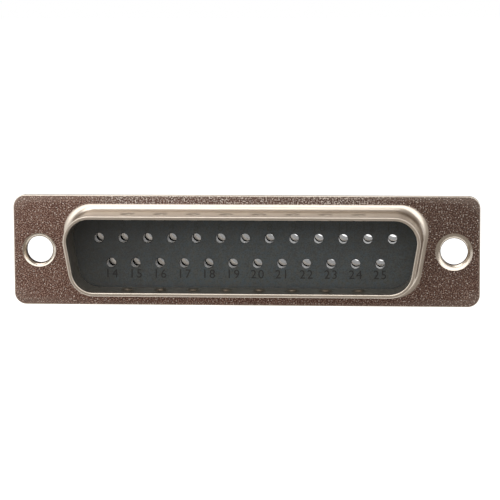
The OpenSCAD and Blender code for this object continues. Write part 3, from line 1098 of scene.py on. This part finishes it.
def stage_sheet(name, corners, shade, roughness):
    """A matt sheet of the stage, its node tree and its shader. Any glow it has is white."""
    mesh = bmesh.new()
    mesh.faces.new([mesh.verts.new(corner) for corner in corners])
    data = bpy.data.meshes.new(name)
    mesh.to_mesh(data)
    mesh.free()
    sheet = bpy.data.objects.new(name, data)
    bpy.context.scene.collection.objects.link(sheet)
    material, tree, shader = new_material(name)
    shader.inputs["Base Color"].default_value = rgba(shade)
    shader.inputs["Roughness"].default_value = roughness
    shader.inputs["Specular IOR Level"].default_value = 0.0
    shader.inputs["Emission Color"].default_value = (1, 1, 1, 1)
    data.materials.append(material)
    return sheet, tree, shader


def pale_floor(sizes, shade):
    """The floor, which glows only where it is seen."""
    reach = sizes.floor_reach
    corners = level_sheet(-reach, reach, -reach, reach, -sizes.floor_drop)
    _, tree, shader = stage_sheet("floor", corners, shade, roughness=0.9)
    glow = between(tree, seen_directly(tree), 0.0, sizes.floor_glow)
    tree.links.new(glow, shader.inputs["Emission Strength"])


def reflector(name, corners, shade, glow=0.0):
    """A sheet round the object, which shows only in the metal."""
    sheet, _, shader = stage_sheet(name, corners, shade, roughness=1.0)
    shader.inputs["Emission Strength"].default_value = glow
    sheet.visible_camera = False
    sheet.visible_shadow = False
    sheet.visible_diffuse = False


def reflectors(sizes, colours):
    """What the metal reflects: a dim wall and floor card in front, a soft box, a dim ceiling."""
    far = sizes.room_distance
    left = -0.30 * far
    right = 1.2 * far
    low = 0.002 - sizes.floor_drop
    card_edge = -0.03
    wall_top = 0.24 * far
    box_top = 1.1 * far
    box_reach = 1.6 * far
    ceiling_z = 0.8 * far
    ceiling_edge = -0.60 * far
    ceiling_reach = 2 * far
    wall = upright_sheet(left, right, -far, low, wall_top)
    card = level_sheet(left, right, -far, card_edge, low)
    box = upright_sheet(-box_reach, box_reach, -far, wall_top, box_top)
    ceiling = level_sheet(-ceiling_reach, ceiling_reach, ceiling_edge, ceiling_reach, ceiling_z)
    reflector("dim_wall", wall, colours.room)
    reflector("dim_card", card, colours.card)
    reflector("soft_box", box, colours.floor, sizes.box_glow)
    reflector("dim_ceiling", ceiling, colours.room)


def soft_lamp(name, place, size, power):
    """A square lamp at a place, turned to the origin."""
    data = bpy.data.lights.new(name, "AREA")
    data.shape = "SQUARE"
    data.size = size
    data.energy = power
    lamp = bpy.data.objects.new(name, data)
    lamp.location = place
    lamp.rotation_euler = Vector(place).to_track_quat("Z", "Y").to_euler()
    bpy.context.scene.collection.objects.link(lamp)


def aimed_camera(sizes):
    """The scene's camera, turned to its aim."""
    data = bpy.data.cameras.new("camera")
    data.lens = sizes.lens
    data.sensor_width = 36.0
    data.clip_start = 0.01
    camera = bpy.data.objects.new("camera", data)
    turned = (
        Matrix.Rotation(sizes.azimuth, 4, "Z")
        @ Matrix.Rotation(math.radians(90) - sizes.elevation, 4, "X")
        @ Matrix.Rotation(sizes.roll, 4, "Z")
    )
    back = turned.to_3x3() @ Vector((0, 0, 1))
    camera.matrix_world = Matrix.Translation(Vector(sizes.aim) + back * sizes.distance) @ turned
    bpy.context.scene.collection.objects.link(camera)
    bpy.context.scene.camera = camera


class DSUB_OT_stage(bpy.types.Operator):
    """Set up the floor, the reflections, the lamp and the camera"""

    bl_idname = "dsub.stage"
    bl_label = "Stage"

    def execute(self, context):
        sizes = settings().dsub_stage
        colours = settings().dsub_finish
        pale_floor(sizes, colours.floor)
        reflectors(sizes, colours)
        white_world(sizes.sky)
        soft_lamp("key", sizes.key_place, sizes.key_size, sizes.key_power)
        context.scene.view_settings.view_transform = "Standard"
        aimed_camera(sizes)
        return {"FINISHED"}


class DSUB_PT_panel(bpy.types.Panel):
    """Lists the pieces of the plug housing"""

    bl_idname = "DSUB_PT_panel"
    bl_label = "D-sub plug housing"
    bl_space_type = "VIEW_3D"
    bl_region_type = "UI"
    bl_category = "Connector"

    def draw(self, context):
        for operator in OPERATORS:
            self.layout.operator(operator.bl_idname)


OPERATORS = (
    DSUB_OT_front_shell,
    DSUB_OT_rear_shell,
    DSUB_OT_eyelets,
    DSUB_OT_front_insulator,
    DSUB_OT_rear_insulator,
    DSUB_OT_contact_numbers,
    DSUB_OT_clips,
    DSUB_OT_stage,
)


def register():
    """Registers the property groups, the operators and the panel."""
    for group in GROUPS.values():
        bpy.utils.register_class(group)
    for name, group in GROUPS.items():
        setattr(bpy.types.Scene, name, PointerProperty(type=group))
    for operator in OPERATORS:
        bpy.utils.register_class(operator)
    bpy.utils.register_class(DSUB_PT_panel)


def unregister():
    """Takes away all that register adds, in the opposite order."""
    bpy.utils.unregister_class(DSUB_PT_panel)
    for operator in reversed(OPERATORS):
        bpy.utils.unregister_class(operator)
    for name in GROUPS:
        delattr(bpy.types.Scene, name)
    for group in reversed(list(GROUPS.values())):
        bpy.utils.unregister_class(group)


def main():
    """Registers the add-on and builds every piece."""
    register()
    bpy.ops.dsub.front_shell()
    bpy.ops.dsub.rear_shell()
    bpy.ops.dsub.eyelets()
    bpy.ops.dsub.front_insulator()
    bpy.ops.dsub.rear_insulator()
    bpy.ops.dsub.contact_numbers()
    bpy.ops.dsub.clips()
    bpy.ops.dsub.stage()


if __name__ == "__main__":
    main()
